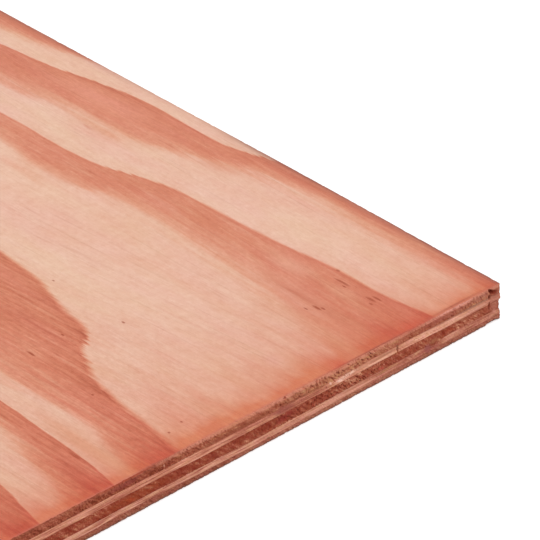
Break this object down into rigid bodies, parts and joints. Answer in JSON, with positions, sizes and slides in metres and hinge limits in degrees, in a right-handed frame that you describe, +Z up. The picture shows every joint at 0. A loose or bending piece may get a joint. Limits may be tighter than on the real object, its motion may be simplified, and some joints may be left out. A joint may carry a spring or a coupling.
{
  "type": "plywood sheet",
  "caption": "Full-size softwood plywood sheet of crossed, glued veneers, lying flat with its figured face up and its ply layers showing on the sawn edges.",
  "frame": {"origin": "middle of the underside", "axes": "+X along the sheet and the face grain, +Y across the sheet, +Z up out of the face side"},
  "size_m": [2.4384, 1.2192, 0.0119],
  "materials": {
    "back_veneer": "raw sanded softwood veneer, grain along the sheet, matte",
    "lower_crossband": "raw softwood veneer, grain across the sheet, matte",
    "core_veneer": "raw softwood veneer, dark rough end grain at the sheet's ends, matte",
    "upper_crossband": "raw softwood veneer, grain across the sheet, matte",
    "face_veneer": "raw sanded rotary-cut softwood, pale wood with broad salmon-red growth bands, matte"
  },
  "bodies": {
    "root": {"back_veneer": "back_veneer", "lower_crossband": "lower_crossband", "core_veneer": "core_veneer", "upper_crossband": "upper_crossband", "face_veneer": "face_veneer"}
  },
  "joints": []
}
